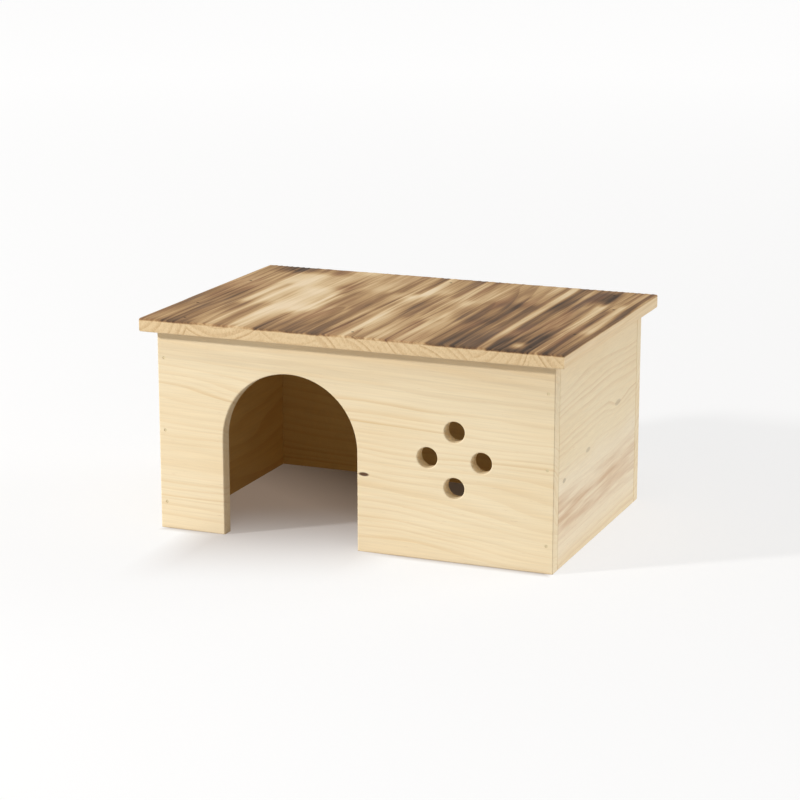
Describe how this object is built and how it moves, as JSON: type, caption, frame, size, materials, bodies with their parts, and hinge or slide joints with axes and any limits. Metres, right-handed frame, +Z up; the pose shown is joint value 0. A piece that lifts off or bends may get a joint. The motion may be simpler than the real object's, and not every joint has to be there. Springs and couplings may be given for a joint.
{
  "type": "guinea pig house",
  "caption": "Low wooden hideout for a guinea pig: an open-bottomed nailed pine box with an arched doorway, round air holes and a flat flamed roof to sit on.",
  "frame": {"origin": "on the ground, under the middle of the roof's outline", "axes": "+X to the right as seen from the front with the doorway, +Y to the back, +Z up"},
  "size_m": [0.318, 0.22, 0.157],
  "materials": {
    "pine": "planed and sanded, raw, pale straw colour",
    "flamed_pine": "flamed and brushed, streaks from pale straw to charred brown",
    "nail_steel": "zinc plated and yellow passivated wire, the roof's heads darkened by the flame"
  },
  "bodies": {
    "root": {"front_wall": "pine", "back_wall": "pine", "left_wall": "pine", "right_wall": "pine", "roof_panel": "flamed_pine", "nails_front_left": "nail_steel", "nails_front_right": "nail_steel", "nails_back_left": "nail_steel", "nails_back_right": "nail_steel", "nails_roof_front": "nail_steel", "nails_roof_back": "nail_steel", "nails_roof_left": "nail_steel", "nails_roof_right": "nail_steel"}
  },
  "joints": []
}
